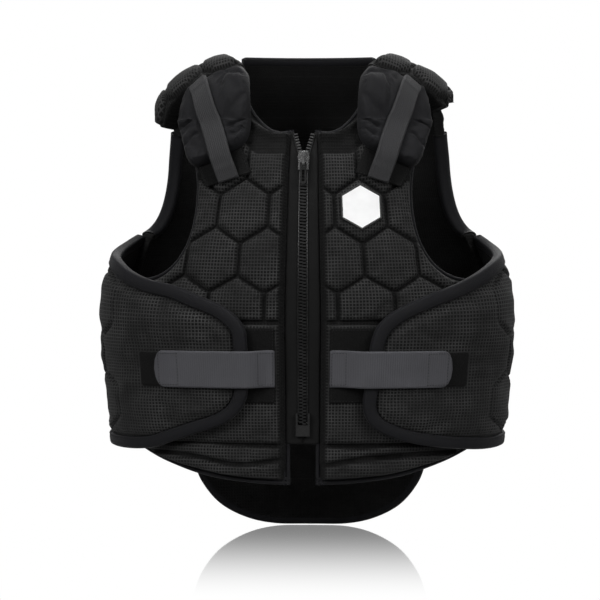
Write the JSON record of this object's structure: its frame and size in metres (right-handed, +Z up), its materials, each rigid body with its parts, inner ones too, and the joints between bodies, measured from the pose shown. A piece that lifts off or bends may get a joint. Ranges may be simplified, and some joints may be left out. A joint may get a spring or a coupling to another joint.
{
  "type": "equestrian body protector",
  "caption": "Padded riding vest with hexagonal foam pads, a front zip, wrap-over side flaps and strap-closed shoulders.",
  "frame": {"origin": "between the wearer's shoulders, on the body's middle plane at the level where the shoulder yokes sit", "axes": "+Z up the wearer's body, the front and its zip face -Y, and +X is the wearer's left"},
  "size_m": [0.461, 0.2803, 0.5348],
  "materials": {
    "mesh_cloth": "open square air mesh over foam pads, charcoal, matt",
    "smooth_cloth": "plain woven polyester, near black, slightly creased",
    "binding": "folded binding tape with a stitched edge, near black",
    "elastic": "ribbed elastic webbing, dark grey",
    "hook_and_loop": "short pile, black",
    "zip_tape": "woven zip tape, black",
    "zip_plastic": "moulded teeth, black, satin",
    "zip_metal": "black lacquered die casting, glossy",
    "badge": "white rubbery plate with a thin black rim"
  },
  "bodies": {
    "vest": {"back_panel": "mesh_cloth", "front_panel_right": "mesh_cloth", "front_panel_left": "mesh_cloth", "side_flap_right": "mesh_cloth", "side_flap_left": "mesh_cloth", "shoulder_yoke_right": "mesh_cloth", "shoulder_yoke_left": "mesh_cloth", "flap_binding_right": "binding", "flap_binding_left": "binding", "shoulder_flap_right": "smooth_cloth", "shoulder_flap_left": "smooth_cloth", "shoulder_patch_right": "hook_and_loop", "shoulder_patch_left": "hook_and_loop", "front_patch_right": "hook_and_loop", "front_patch_left": "hook_and_loop", "flap_patch_right": "hook_and_loop", "flap_patch_left": "hook_and_loop", "waist_strap_right": "elastic", "waist_strap_left": "elastic", "shoulder_strap_right": "elastic", "shoulder_strap_left": "elastic", "zip_tape_right": "zip_tape", "zip_tape_left": "zip_tape", "zip_chain": "zip_plastic", "zip_box": "zip_plastic", "zip_slider": "zip_metal", "badge": "badge"},
    "puller": {"zip_puller": "zip_metal"}
  },
  "joints": [
    {"name": "puller_swing", "type": "hinge", "parent": "vest", "child": "puller", "pos_m": [0, -0.10312, -0.09841], "axis": [-1, 0, 0], "range_deg": [0, 112]}
  ]
}
